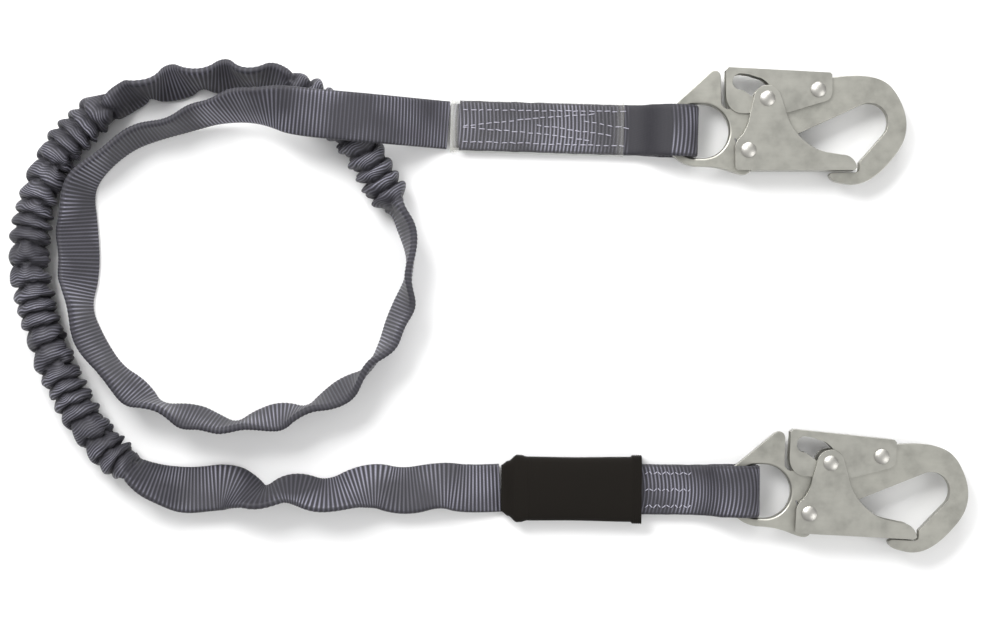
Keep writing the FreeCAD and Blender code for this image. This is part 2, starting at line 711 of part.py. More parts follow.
def section(station, heading, width, thickness):
    """Rectangular cross-section of the twisting stretch: the edge away from the loop's middle rises."""
    along = Vector(*heading, 0).normalize()
    outward = Vector(along.y, -along.x, 0)
    tilt = math.radians(station[3])
    across = outward * math.cos(tilt) + Vector(0, 0, math.sin(tilt))
    up = along.cross(across).normalize()
    middle = Vector(*station[:3])
    corners = [middle + across * (a * width / 2) + up * (b * thickness / 2)
               for a, b in ((1, 1), (1, -1), (-1, -1), (-1, 1))]
    return Part.makePolygon(corners + corners[:1])


def twisting(width, thickness):
    headings = []
    for before, after in zip(TWIST[:1] + TWIST, TWIST[1:] + TWIST[-1:]):
        headings.append((after[0] - before[0], after[1] - before[1]))
    headings[0] = (-math.cos(math.radians(TOP_TURN)), -math.sin(math.radians(TOP_TURN)))
    first_run = (LOOP_ROUTE[1][0] - LOOP_ROUTE[0][0], LOOP_ROUTE[1][1] - LOOP_ROUTE[0][1])
    headings[-1] = first_run
    sections = [section(s, heading, width, thickness) for s, heading in zip(TWIST, headings)]
    return Part.makeLoft(sections, True, True)


def gather_tube(name, route):
    """Round tube along the route: the jacket pushed up into folds, hollow for its core."""
    points = [(x, y, GATHERED) for x, y in route]
    spine = doc.addObject("Part::Feature", name + "_spine")
    spine.Shape = route_wire(points, name)
    heading = Vector(*points[1]) - Vector(*points[0])
    start = Placement(Vector(*points[0]), Rotation(Vector(0, 0, 1), heading))
    sweeps = []
    for kind, radius in (("outside", "Sizes.gather_radius"), ("bore", "Sizes.gather_bore_radius")):
        ring = doc.addObject("Part::Circle", f"{name}_{kind}_ring")
        ring.setExpression("Radius", radius)
        ring.Placement = start
        sweep = doc.addObject("Part::Sweep", f"{name}_{kind}")
        sweep.Sections = [ring]
        sweep.Spine = spine
        sweep.Solid = True
        sweep.Frenet = False
        sweeps.append(sweep)
    tube = doc.addObject("Part::Cut", name)
    tube.Label = name
    tube.Base, tube.Tool = sweeps
    parts.append(tube)
    return spine


def round_core(spine, route):
    heading = Vector(route[1][0] - route[0][0], route[1][1] - route[0][1], 0)
    ring = Part.Circle(Vector(*route[0], GATHERED), heading, size("gather_core_radius")).toShape()
    return spine.Shape.makePipeShell([Part.Wire([ring])], True, False)


top_placement = Placement(Vector(*SLEEVE_END, 0), Rotation(Vector(0, 0, 1), TOP_TURN))
ribbon_jacket("jacket_top_run", TOP_SIDE_VIEW, THICK, "Sizes.webbing_width", top_placement, "XZ_Plane")
twist = doc.addObject("Part::Feature", "jacket_twist")
twist.Label = "jacket_twist"
twist.Shape = twisting(WIDTH, THICK).cut(twisting(WIDTH - 2 * WALL, THICK - 2 * WALL))
parts.append(twist)
ribbon_jacket("jacket_loop", LOOP_ROUTE, THICK, "Sizes.webbing_width")
under_spine = gather_tube("jacket_gathers_under", UNDER_ROUTE)
ribbon_jacket("jacket_return", RETURN_ROUTE, THICK, "Sizes.webbing_width")
outer_spine = gather_tube("jacket_gathers_outer", OUTER_ROUTE)
ribbon_jacket("jacket_bottom_run", BOTTOM_ROUTE, WIDTH, "Sizes.jacket_thickness")


def energy_core():
    """Partly drawn yarn strap that runs inside the whole jacket and stretches to absorb a fall."""
    wide, thin = size("core_width"), size("core_thickness")
    above = (WIDTH - wide) / 2
    top_strip = Part.Face(Part.Wire(Part.__sortEdges__(
        [e.toShape() for e in ribbon(TOP_SIDE_VIEW, thin, "core top run")])))
    top_core = top_strip.extrude(Vector(0, 0, wide))
    top_core.translate(Vector(0, 0, -wide / 2))
    top_core.Placement = top_placement.multiply(Placement(Vector(), Rotation(Vector(1, 0, 0), 90))).multiply(
        top_core.Placement)
    solids = [
        top_core,
        twisting(wide, thin),
        flat_shape(LOOP_ROUTE, thin, wide, above, "core loop"),
        round_core(under_spine, UNDER_ROUTE),
        flat_shape(RETURN_ROUTE, thin, wide, above, "core return"),
        round_core(outer_spine, OUTER_ROUTE),
        flat_shape(BOTTOM_ROUTE, wide, thin, (THICK - thin) / 2, "core bottom run"),
    ]
    group_of_solids("energy_core", solids, Placement())


energy_core()

# ---------------------------------------------------------------- checks, then the files

doc.recompute()
doc.recompute()
failed = [o.Name for o in doc.Objects if "Invalid" in o.State or "Error" in o.State]
bad = [p.Label for p in parts if p.Shape.isNull() or not p.Shape.isValid()]
if failed or bad:
    raise RuntimeError(f"objects that failed: {failed}; sub-parts with no valid shape: {bad}")

# The origin is the middle of the whole lanyard's footprint, on the surface it lies on.
whole = FreeCAD.BoundBox()
for piece in parts:
    whole.add(piece.Shape.BoundBox)
shift = Vector(-whole.Center.x, -whole.Center.y, 0)
for piece in parts:
    piece.Placement = Placement(shift, Rotation()).multiply(piece.Placement)
doc.recompute()
print(f"shift {shift.x:.3f} {shift.y:.3f}; size {whole.XLength:.1f} {whole.YLength:.1f} {whole.ZLength:.1f};",
      f"lowest {whole.ZMin:.3f}")

os.makedirs("parts", exist_ok=True)
for piece in parts:
    piece.Shape.exportStep(f"parts/{piece.Label}.step")
    print(f"{piece.Label}: {piece.Shape.Volume:.0f} mm3, {len(piece.Shape.Solids)} solids")
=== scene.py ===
import json
import math
import random

import bmesh
import bpy
from mathutils import Matrix, Vector, noise


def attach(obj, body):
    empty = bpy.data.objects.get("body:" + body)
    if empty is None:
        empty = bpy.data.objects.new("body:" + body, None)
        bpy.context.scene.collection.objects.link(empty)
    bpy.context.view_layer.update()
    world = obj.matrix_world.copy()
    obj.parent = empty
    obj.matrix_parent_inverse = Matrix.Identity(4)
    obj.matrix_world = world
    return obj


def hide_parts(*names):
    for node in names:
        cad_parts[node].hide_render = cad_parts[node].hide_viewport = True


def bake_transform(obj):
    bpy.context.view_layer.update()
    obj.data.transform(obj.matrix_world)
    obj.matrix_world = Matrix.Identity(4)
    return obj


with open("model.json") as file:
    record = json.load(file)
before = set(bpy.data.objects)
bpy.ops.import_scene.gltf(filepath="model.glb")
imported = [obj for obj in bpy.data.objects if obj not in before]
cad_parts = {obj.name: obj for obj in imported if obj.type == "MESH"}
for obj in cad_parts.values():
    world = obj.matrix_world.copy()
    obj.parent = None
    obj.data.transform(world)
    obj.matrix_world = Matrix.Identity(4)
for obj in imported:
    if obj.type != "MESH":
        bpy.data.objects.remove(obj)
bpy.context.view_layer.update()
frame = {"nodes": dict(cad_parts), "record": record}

# The looks of a shock absorbing lanyard around its CAD frame. Metres, +Z up, the surface at Z = 0.

MM = 0.001
UP = Vector((0, 0, 1))
nodes = frame["nodes"]


# ---------------------------------------------------------------- camera, light and floor

VIEW_WIDTH = 0.570  # how much of the surface the picture's width takes in
VIEW_CENTRE = Vector((0.0068, 0.0006, 0.010))
CAMERA_HEIGHT = 1.40
SENSOR = 36.0
# Strength of the world near the horizon, overhead and where the camera sees it.
WORLD_LOW = 0.20
WORLD_HIGH = 0.80
WORLD_SEEN = 0.92


def make_camera():
    data = bpy.data.cameras.new("camera")
    data.sensor_width = SENSOR
    data.lens = SENSOR * CAMERA_HEIGHT / VIEW_WIDTH
    camera = bpy.data.objects.new("camera", data)
    camera.location = VIEW_CENTRE + UP * CAMERA_HEIGHT
    bpy.context.scene.collection.objects.link(camera)
    bpy.context.scene.camera = camera


def area_light(name, place, aim, side, power):
    data = bpy.data.lights.new(name, "AREA")
    data.size = side
    data.energy = power
    light = bpy.data.objects.new(name, data)
    light.location = place
    light.rotation_euler = (Vector(aim) - Vector(place)).to_track_quat("-Z", "Y").to_euler()
    bpy.context.scene.collection.objects.link(light)


def make_world():
    """A white room that is brightest overhead. Seen directly it is plain and pale."""
    world = bpy.data.worlds.new("studio")
    world.use_nodes = True
    tree = world.node_tree
    background = tree.nodes["Background"]
    background.inputs["Color"].default_value = (1.0, 1.0, 1.0, 1.0)
    direction = tree.nodes.new("ShaderNodeTexCoord")
    height = tree.nodes.new("ShaderNodeSeparateXYZ")
    glow = tree.nodes.new("ShaderNodeMapRange")
    glow.inputs["From Min"].default_value = 0.05
    glow.inputs["From Max"].default_value = 0.75
    glow.inputs["To Min"].default_value = WORLD_LOW
    glow.inputs["To Max"].default_value = WORLD_HIGH
    ray = tree.nodes.new("ShaderNodeLightPath")
    seen = tree.nodes.new("ShaderNodeMix")
    seen.inputs[3].default_value = WORLD_SEEN
    tree.links.new(direction.outputs["Generated"], height.inputs[0])
    tree.links.new(height.outputs["Z"], glow.inputs["Value"])
    tree.links.new(ray.outputs["Is Camera Ray"], seen.inputs[0])
    tree.links.new(glow.outputs["Result"], seen.inputs[2])
    tree.links.new(seen.outputs[0], background.inputs["Strength"])
    bpy.context.scene.world = world


def make_lights():
    area_light("key", (-0.55, 0.75, 1.0), (0, 0, 0), 0.6, 17.0)
    area_light("fill", (1.3, -0.9, 1.0), (0, 0, 0), 1.2, 14.0)
    area_light("rim", (0.2, 1.2, 0.6), (0, 0, 0), 0.6, 8.0)


make_camera()
make_world()
make_lights()
bpy.context.scene.view_settings.view_transform = "Standard"


# ---------------------------------------------------------------- node materials


class Material:
    """A procedural material: a principled shader and short calls that add nodes to it."""

    def __init__(self, name, **shader_values):
        self.material = bpy.data.materials.new(name)
        self.material.use_nodes = True
        self.tree = self.material.node_tree
        self.shader = self.tree.nodes["Principled BSDF"]
        for socket, value in shader_values.items():
            self.shader.inputs[socket.replace("_", " ")].default_value = value

    def node(self, kind, **settings):
        made = self.tree.nodes.new("ShaderNode" + kind)
        for name, value in settings.items():
            setattr(made, name, value)
        return made

    def link(self, source, target):
        self.tree.links.new(source, target)

    def place(self):
        return self.node("TexCoord").outputs["Object"]

    def attribute(self, name):
        return self.node("Attribute", attribute_name=name).outputs["Fac"]

    def value(self, socket, source):
        if isinstance(source, (int, float)):
            socket.default_value = source
        else:
            self.link(source, socket)

    def math(self, operation, first, second=0.0, third=None):
        made = self.node("Math", operation=operation)
        self.value(made.inputs[0], first)
        self.value(made.inputs[1], second)
        if third is not None:
            self.value(made.inputs[2], third)
        return made.outputs[0]

    def noise(self, scale, detail=3.0, roughness=0.55, stretch=None):
        made = self.node("TexNoise")
        made.inputs["Scale"].default_value = scale
        made.inputs["Detail"].default_value = detail
        made.inputs["Roughness"].default_value = roughness
        place = self.place()
        if stretch:
            mapping = self.node("Mapping")
            mapping.inputs["Scale"].default_value = stretch
            self.link(place, mapping.inputs["Vector"])
            place = mapping.outputs[0]
        self.link(place, made.inputs["Vector"])
        return made.outputs["Fac"]

    def ramp(self, source, stops):
        made = self.node("ValToRGB")
        elements = made.color_ramp.elements
        while len(elements) < len(stops):
            elements.new(0.5)
        for element, (position, colour) in zip(elements, stops):
            element.position = position
            element.color = (*colour, 1.0)
        self.link(source, made.inputs[0])
        return made.outputs[0]

    def mix(self, factor, first, second):
        made = self.node("Mix", data_type="RGBA")
        self.value(made.inputs[0], factor)
        for socket, colour in ((made.inputs[6], first), (made.inputs[7], second)):
            if isinstance(colour, tuple):
                socket.default_value = (*colour, 1.0)
            else:
                self.link(colour, socket)
        return made.outputs[2]

    def spread(self, source, low, high, start=0.0, stop=1.0):
        """Takes start to stop to low to high."""
        made = self.node("MapRange")
        self.link(source, made.inputs["Value"])
        made.inputs["From Min"].default_value = start
        made.inputs["From Max"].default_value = stop
        made.inputs["To Min"].default_value = low
        made.inputs["To Max"].default_value = high
        return made.outputs["Result"]

    def bump(self, height, strength, distance):
        made = self.node("Bump")
        made.inputs["Strength"].default_value = strength
        made.inputs["Distance"].default_value = distance
        self.link(height, made.inputs["Height"])
        last = self.shader.inputs["Normal"]
        if last.is_linked:
            self.link(last.links[0].from_socket, made.inputs["Normal"])
        self.link(made.outputs[0], last)

    def colour(self, source):
        self.link(source, self.shader.inputs["Base Color"])

    def roughness(self, source):
        self.link(source, self.shader.inputs["Roughness"])


RIB_PITCH = 2.2 * MM
YARN_PITCH = 0.95 * MM
SELVEDGE = 12.6 * MM  # from the middle of the webbing, where its woven edge starts


def webbing_material(name, dark, light):
    """Ribbed webbing with painted highlights: the ribs' crests are a little lighter, and in random patches
    they take the light colour, standing in for light caught by the ribs. The mesh's attributes 'along' and
    'across' are distances on the cloth, in metres, and 'ribs' says how far the ribs stand out and how strong
    their painted highlights are; it is lowered in the gathers' creases as painted shade."""
    m = Material(name, Sheen_Weight=0.10, Sheen_Roughness=0.35, Specular_IOR_Level=0.35)
    across, ribs = m.attribute("across"), m.attribute("ribs")
    turns = m.math("MULTIPLY", m.attribute("along"), 2 * math.pi / RIB_PITCH)
    wave = m.math("MULTIPLY_ADD", m.math("SINE", turns), 0.5, 0.5)
    rib = m.math("MULTIPLY", wave, ribs)
    yarns = m.math("MULTIPLY", across, 2 * math.pi / YARN_PITCH)
    slanted = m.math("ADD", yarns, m.math("MULTIPLY", turns, 0.5))
    yarn = m.math("MULTIPLY_ADD", m.math("SINE", slanted), 0.5, 0.5)
    # Painted highlights: rib crests take the light colour in random patches, and less of it near the woven
    # edges.
    painted_highlight_patches = m.spread(m.noise(34.0, detail=1.0), 0.15, 1.0, start=0.40, stop=0.66)
    fuzz = m.noise(2600.0, detail=2.0)
    inside = m.spread(m.math("ABSOLUTE", across), 1.0, 0.25, start=SELVEDGE, stop=SELVEDGE + 0.8 * MM)
    crest = m.math("MULTIPLY", m.math("POWER", rib, 3.0), m.math("MULTIPLY_ADD", yarn, 0.3, 0.7))
    painted_highlight = m.math("MULTIPLY", m.math("MULTIPLY", crest, painted_highlight_patches), inside)
    # Painted highlight: the crests of the ribs are also a little lighter everywhere.
    body = m.mix(m.math("MULTIPLY", rib, 0.8), dark, tuple(1.7 * c for c in dark))
    body = m.mix(m.spread(fuzz, 0.0, 0.5), body, tuple(0.6 * c for c in dark))
    m.colour(m.mix(painted_highlight, body, light))
    m.roughness(m.spread(painted_highlight, 0.62, 0.42))
    m.bump(yarn, 0.30, 0.00012)
    m.bump(rib, 0.30, 0.0003)
    m.bump(fuzz, 0.20, 0.00008)
    return m.material


def metal_material(name, base, rough, mottle=0.10, grain=0.00003, stretch=None):
    """Satin plating: cloudy tone, fine blasted grain and a few worn streaks."""
    m = Material(name, Metallic=1.0)
    cloud = m.noise(95.0, detail=5.0, roughness=0.6)
    fine = m.noise(1500.0, detail=3.0, stretch=stretch)
    streak = m.noise(60.0, detail=6.0, stretch=(1.0, 9.0, 1.0))
    darker = tuple(c * (1 - 2.2 * mottle) for c in base)
    lighter = tuple(min(1.0, c * (1 + mottle)) for c in base)
    tone = m.ramp(cloud, [(0.30, darker), (0.52, base), (0.72, lighter)])
    worn = m.spread(m.math("POWER", streak, 3.0), 0.0, 0.6)
    m.colour(m.mix(worn, tone, darker))
    m.roughness(m.math("ADD", m.spread(cloud, rough - 0.07, rough + 0.07), m.spread(fine, -0.03, 0.03)))
    m.bump(fine, 0.35, grain)
    m.bump(cloud, 0.12, 0.0002)
    return m.material


def cloth_material(name, dark, light, pitch, rough, sheen=0.15):
    """Plain weave from two crossing waves on the cloth's own distances."""
    m = Material(name, Sheen_Weight=sheen, Sheen_Roughness=0.5, Specular_IOR_Level=2 * sheen)
    waves = []
    for attribute in ("along", "across"):
        turns = m.math("MULTIPLY", m.attribute(attribute), 2 * math.pi / pitch)
        waves.append(m.math("SINE", turns))
    weave = m.math("MULTIPLY_ADD", m.math("MULTIPLY", *waves), 0.5, 0.5)
    patch = m.noise(30.0, detail=4.0)
    m.colour(m.mix(m.math("MULTIPLY", weave, m.spread(patch, 0.5, 1.2)), dark, light))
    m.roughness(m.spread(patch, rough - 0.08, rough + 0.06))
    m.bump(weave, 0.45, 0.00010)
    return m.material


def clear_material():
    """Thin glossy film: clear face on; where it turns away and at its mouths its pale colour shows as a
    painted reflection and a painted glint.
    """
    m = Material("clear_sleeve", Roughness=0.10, IOR=1.5, Specular_IOR_Level=0.9)
    haze = m.noise(40.0, detail=4.0)
    m.colour(m.ramp(haze, [(0.35, (0.80, 0.80, 0.76)), (0.75, (0.66, 0.65, 0.58))]))
    facing = m.node("LayerWeight")
    facing.inputs["Blend"].default_value = 0.25
    turned_away = m.spread(facing.outputs["Facing"], 0.01, 0.20)
    # Painted reflection and glint: more opacity where the film turns away, and at its mouths through the
    # 'rim' attribute.
    cover = m.math("ADD", turned_away, m.math("MULTIPLY", m.attribute("rim"), 0.22))
    m.link(m.math("MINIMUM", cover, 1.0), m.shader.inputs["Alpha"])
    m.bump(haze, 0.2, 0.0004)
    return m.material


def paper_material():
    m = Material("label_pages", Specular_IOR_Level=0.4)
    fibre = m.noise(420.0, detail=4.0)
    m.colour(m.ramp(fibre, [(0.3, (0.70, 0.70, 0.66)), (0.7, (0.86, 0.86, 0.83))]))
    m.roughness(m.spread(fibre, 0.45, 0.62))
    m.bump(fibre, 0.15, 0.00003)
    return m.material


# The webbing's own dark colour, and the colour of its painted rib highlights.
WEB_DARK = (0.026, 0.025, 0.031)
WEB_PAINTED_HIGHLIGHT = (0.27, 0.265, 0.33)
ZINC = (0.41, 0.405, 0.365)

MATERIALS = {
    "webbing": webbing_material("webbing", WEB_DARK, WEB_PAINTED_HIGHLIGHT),
    # The wear pad's second colour is the colour of its painted rib highlights.
    "wear_pad": webbing_material("wear_pad", (0.022, 0.022, 0.034), (0.09, 0.09, 0.13)),
    "thread": cloth_material("thread", (0.30, 0.29, 0.36), (0.62, 0.61, 0.70), 0.5 * MM, 0.55),
    "energy_core": cloth_material("energy_core", (0.33, 0.29, 0.22), (0.60, 0.55, 0.46), 1.2 * MM, 0.7),
    "label_cover": cloth_material("label_cover", (0.005, 0.004, 0.003), (0.012, 0.010, 0.008), 0.8 * MM, 0.7,
                                  sheen=0.04),
    "hook_and_loop": cloth_material("hook_and_loop", (0.006, 0.006, 0.006), (0.03, 0.03, 0.03), 0.9 * MM,
                                    0.8),
    "label_pages": paper_material(),
    "clear_sleeve": clear_material(),
    "forged_steel": metal_material("forged_steel", ZINC, 0.42, mottle=0.09),
    "sheet_steel": metal_material("sheet_steel", (0.43, 0.425, 0.385), 0.38, mottle=0.08),
    "rivet_steel": metal_material("rivet_steel", (0.46, 0.45, 0.42), 0.44, mottle=0.05, grain=0.00001),
    "roller_steel": metal_material("roller_steel", (0.10, 0.10, 0.10), 0.38),
    "spring_steel": metal_material("spring_steel", (0.40, 0.40, 0.41), 0.28),
}


def finish_as(piece, slot):
    piece.data.materials.clear()
    piece.data.materials.append(MATERIALS[slot])


# ---------------------------------------------------------------- routes and straps


def sampled(points, steps=12):
    """Points of the NURBS spline of order 3 whose control points are these."""
    data = bpy.data.curves.new("route", "CURVE")
    data.dimensions = "3D"
    data.resolution_u = steps
    spline = data.splines.new("NURBS")
    spline.points.add(len(points) - 1)
    for point, place in zip(spline.points, points):
        point.co = (*place, 1.0)
    spline.order_u = 3
    spline.use_endpoint_u = True
    holder = bpy.data.objects.new("route", data)
    bpy.context.scene.collection.objects.link(holder)
    mesh = bpy.data.meshes.new_from_object(holder)
    found = [v.co.copy() for v in mesh.vertices]
    bpy.data.objects.remove(holder)
    bpy.data.curves.remove(data)
    bpy.data.meshes.remove(mesh)
    return found


class Route:
    """A sampled route with the shape values that go with its control points, read by distance."""

    def __init__(self, points, values, steps=12):
        self.points = sampled(points, steps)
        self.values = sampled(values, steps)
        self.reach = [0.0]
        for a, b in zip(self.points, self.points[1:]):
            self.reach.append(self.reach[-1] + (b - a).length)
        self.length = self.reach[-1]
        self.at = 0

    def read(self, distance):
        """Place, heading and shape values at a distance."""
        if distance < self.reach[self.at]:
            self.at = 0
        while self.at < len(self.reach) - 2 and self.reach[self.at + 1] < distance:
            self.at += 1
        i = self.at
        run = self.reach[i + 1] - self.reach[i]
        t = min(1.0, max(0.0, (distance - self.reach[i]) / run))
        before, after = self.points[max(i - 1, 0)], self.points[min(i + 2, len(self.points) - 1)]
        heading_here = self.points[i + 1] - before
        heading_next = after - self.points[i]
        heading = heading_here.normalized().lerp(heading_next.normalized(), t).normalized()
        return self.points[i].lerp(self.points[i + 1], t), heading, self.values[i].lerp(self.values[i + 1], t)


def mesh_piece(name, vertices, faces, attributes, slot):
    """A smooth mesh with a value of each attribute for every vertex."""
    data = bpy.data.meshes.new(name)
    data.from_pydata(vertices, [], faces)
    for label, values in attributes.items():
        layer = data.attributes.new(label, "FLOAT", "POINT")
        layer.data.foreach_set("value", values)
    made = bmesh.new()
    made.from_mesh(data)
    bmesh.ops.recalc_face_normals(made, faces=made.faces)
    made.to_mesh(data)
    made.free()
    data.polygons.foreach_set("use_smooth", [True] * len(data.polygons))
    piece = bpy.data.objects.new(name, data)
    bpy.context.scene.collection.objects.link(piece)
    finish_as(piece, slot)
    return piece


def on_plan(vertices):
    """The cloth's distances for a piece that lies along X."""
    return {"along": [v[0] for v in vertices], "across": [v[1] for v in vertices]}


def tube_faces(rings, count, first=0, closed=False):
    """Faces of a tube through rings of count vertices: round on itself, or with a cap at each end."""
    faces = []
    for r in range(rings if closed else rings - 1):
        here, following = first + r * count, first + (r + 1) % rings * count
        for k in range(count):
            n = (k + 1) % count
            faces.append((here + k, here + n, following + n, following + k))
    if not closed:
        last = first + (rings - 1) * count
        faces.append(tuple(reversed(range(first, first + count))))
        faces.append(tuple(range(last, last + count)))
    return faces


def flat_ring(sides, ends):
    """Unit outline of a flat strap: (across, thickness) from -1 to 1, with round edges."""
    ring = []
    for k in range(sides):
        ring.append((-0.88 + 1.76 * k / (sides - 1), 1.0))
    for k in range(1, ends):
        turn = math.pi * k / ends
        ring.append((0.88 + 0.12 * math.sin(turn), math.cos(turn)))
    for k in range(sides):
        ring.append((0.88 - 1.76 * k / (sides - 1), -1.0))
    for k in range(1, ends):
        turn = math.pi * k / ends
        ring.append((-0.88 - 0.12 * math.sin(turn), -math.cos(turn)))
    return ring


RING = flat_ring(sides=15, ends=5)
RING_TURN = [math.radians(153.0) - k * 2 * math.pi / len(RING) for k in range(len(RING))]


def leaning_side(heading, lean):
    """Direction across the cloth: flat for a lean of 0, and at 90 degrees with its outer edge up."""
    outward = Vector((heading.y, -heading.x, 0)).normalized()
    across = outward * math.cos(lean) + UP * math.sin(lean)
    return (across - heading * across.dot(heading)).normalized()


def smoothstep(t):
    t = min(1.0, max(0.0, t))
    return t * t * (3 - 2 * t)


# ---------------------------------------------------------------- where the hooks and sewn ends are

EYE_TO_BOWL = Vector((95.0, 5.2, 0)) * MM
HOOK_TURN = {"a": 0.0, "b": -3.0}
WEBBING_TURN = {"a": -1.6, "b": -0.5}
MOUNTS = {mount["name"]: Vector(mount["pos_m"]) for mount in frame["record"]["mounts"]}


def turned(degrees):
    return Matrix.Rotation(math.radians(degrees), 4, "Z")


EYE = {}
for end, turn in HOOK_TURN.items():
    EYE[end] = MOUNTS[f"anchor_bowl_{end}"] - turned(turn) @ EYE_TO_BOWL
HOOK_MIDDLE = EYE["a"].z
# The route's points below are measured from where hook a's eye is at (0.1216, 0.1011).
ROUTE_SHIFT = Vector((EYE["a"].x - 0.1216, EYE["a"].y - 0.1011, 0))


def end_frame(end):
    return Matrix.Translation((EYE[end].x, EYE[end].y, 0)) @ turned(WEBBING_TURN[end])


# ---------------------------------------------------------------- the jacket

HALF_WIDTH = 13.8 * MM
HALF_THICKNESS = 1.9 * MM
RIB_HEIGHT = 0.13 * MM
GATHERED = 12.3 * MM
FOLD_OUTSIDE = 12.4 * MM
FOLD_INSIDE = 5.4 * MM
FOLD_PITCH = 9.6 * MM
FOLD_OVERHANG = 2.4 * MM
FOLD_BOW = 0.9
SCALLOP_PITCH = 5.2 * MM
SCALLOP_DEPTH = 2.0 * MM
GATHERS_LEAN = 70.0
RING_STEP = RIB_PITCH / 4
CORE_HALF_WIDTH = 10.0 * MM
CORE_HALF_THICKNESS = 0.7 * MM
CORE_STEP = 2.5 * MM

TOP_RUN = [(-0.0228, 0.1052, 0.0034), (-0.0298, 0.1058, 0.0034), (-0.0627, 0.1070, 0.0302)]
# place of the middle, lean in degrees
TWIST = [
    (-0.1064, 0.1108, 0.0308, 12), (-0.1231, 0.1142, 0.0290, 42), (-0.1385, 0.1148, 0.0235, 56),
    (-0.1545, 0.1126, 0.0185, 64), (-0.1690, 0.1072, 0.0160, 73),
]
# plan position and lean; the cloth stands on the surface
LOOP = [
    (-0.1864, 0.1025, 76), (-0.2071, 0.0950, 76), (-0.2255, 0.0795, 73), (-0.2343, 0.0658, 60),
    (-0.2340, 0.0445, 42), (-0.2330, 0.0217, 42), (-0.2335, 0.0014, 74), (-0.2255, -0.0204, 66),
    (-0.2136, -0.0370, 71), (-0.2000, -0.0480, 58), (-0.1882, -0.0564, 93), (-0.1691, -0.0610, 62),
    (-0.1550, -0.0656, 74), (-0.1436, -0.0666, 94), (-0.1311, -0.0640, 68), (-0.1174, -0.0604, 60),
    (-0.1037, -0.0580, 95), (-0.0905, -0.0525, 66), (-0.0805, -0.0449, 64), (-0.0690, -0.0355, 95),
    (-0.0584, -0.0222, 76), (-0.0490, -0.0018, 60), (-0.0444, 0.0173, 88), (-0.0442, 0.0322, 86),
    (-0.0462, 0.0462, 70), (-0.0502, 0.0557, 74),
]
UNDER = [
    (-0.0552, 0.0632), (-0.0602, 0.0707), (-0.0661, 0.0821), (-0.0758, 0.0966), (-0.0891, 0.1120),
    (-0.1033, 0.1215),
]
RETURN = [
    (-0.1216, 0.1315, 50), (-0.1348, 0.1314, 92), (-0.1481, 0.1334, 38), (-0.1642, 0.1300, 90),
    (-0.1801, 0.1294, 38), (-0.1938, 0.1248, 88), (-0.2034, 0.1218, 56),
]
OUTER = [
    (-0.2223, 0.1114), (-0.2314, 0.1032), (-0.2394, 0.0946), (-0.2461, 0.0849), (-0.2507, 0.0747),
    (-0.2547, 0.0650), (-0.2576, 0.0553), (-0.2599, 0.0450), (-0.2610, 0.0336), (-0.2608, 0.0222),
    (-0.2590, 0.0108), (-0.2565, -0.0006), (-0.2537, -0.0091), (-0.2503, -0.0197), (-0.2446, -0.0348),
    (-0.2360, -0.0519), (-0.2294, -0.0628), (-0.2219, -0.0742), (-0.2126, -0.0846),
]
BOTTOM = [
    (-0.1985, -0.0936, 66), (-0.1870, -0.1004, 44), (-0.1740, -0.1035, 24), (-0.1620, -0.1030, 24),
    (-0.1500, -0.1015, 22), (-0.1400, -0.1030, 48), (-0.1277, -0.1090, 74), (-0.1117, -0.1004, 58),
    (-0.0912, -0.1080, 56), (-0.0678, -0.0992, 34), (-0.0496, -0.1050, 18), (-0.0268, -0.1000, 28),
    (-0.0125, -0.1033, 10), (0.0066, -0.1024, 0),
]


def standing(lean):
    return (HALF_WIDTH - HALF_THICKNESS) * math.sin(math.radians(lean)) + HALF_THICKNESS


def jacket_controls():
    """Control points of the jacket's route and, for each, its lean and how far it is gathered."""
    places, shapes = [], []
    for x, y, z in TOP_RUN:
        places.append((x, y, z))
        shapes.append((0.0, 0.0, 0.0))
    for x, y, z, lean in TWIST:
        places.append((x, y, z))
        shapes.append((lean, 0.0, 0.0))
    for stretch, gathered in ((LOOP, 0), (UNDER, 1), (RETURN, 0), (OUTER, 1), (BOTTOM, 0)):
        for x, y, *rest in stretch:
            lean = rest[0] if rest else GATHERS_LEAN
            places.append((x, y, GATHERED if gathered else standing(lean)))
            shapes.append((lean, float(gathered), 0.0))
    places = [Vector(p) + ROUTE_SHIFT for p in places]
    places[-1].z = HALF_THICKNESS + 0.5 * MM
    return places, shapes


def folded(distance, turn):
    """Radius, forward lean and openness of the jacket pushed up into folds: broad backs that hang over deep
    creases, with small scallops on the side towards the loop."""
    round_x, round_y = math.cos(turn), math.sin(turn)
    from_top = turn - math.radians(90 - GATHERS_LEAN)
    crumple = noise.noise(Vector((1.6 * round_x, 1.6 * round_y, distance * 74.0)))
    phase = 2 * math.pi * distance / FOLD_PITCH + 1.6 * math.sin(distance * 121.0)
    phase += FOLD_BOW * math.cos(from_top) + 2.9 * crumple
    back = abs(math.sin(phase / 2)) ** 0.45
    uneven = noise.noise(Vector((distance * 61.0, round_x, round_y + 8.0)))
    reach = FOLD_OUTSIDE * (0.95 + 0.12 * uneven)
    scallop = 1 - abs(math.sin(math.pi * distance / SCALLOP_PITCH + crumple)) ** 0.6
    inner_side = smoothstep((math.sin(from_top) - 0.35) / 0.5)
    radius = FOLD_INSIDE + (reach - FOLD_INSIDE) * back - SCALLOP_DEPTH * scallop * inner_side
    return radius, FOLD_OVERHANG * back * (1 + crumple), back


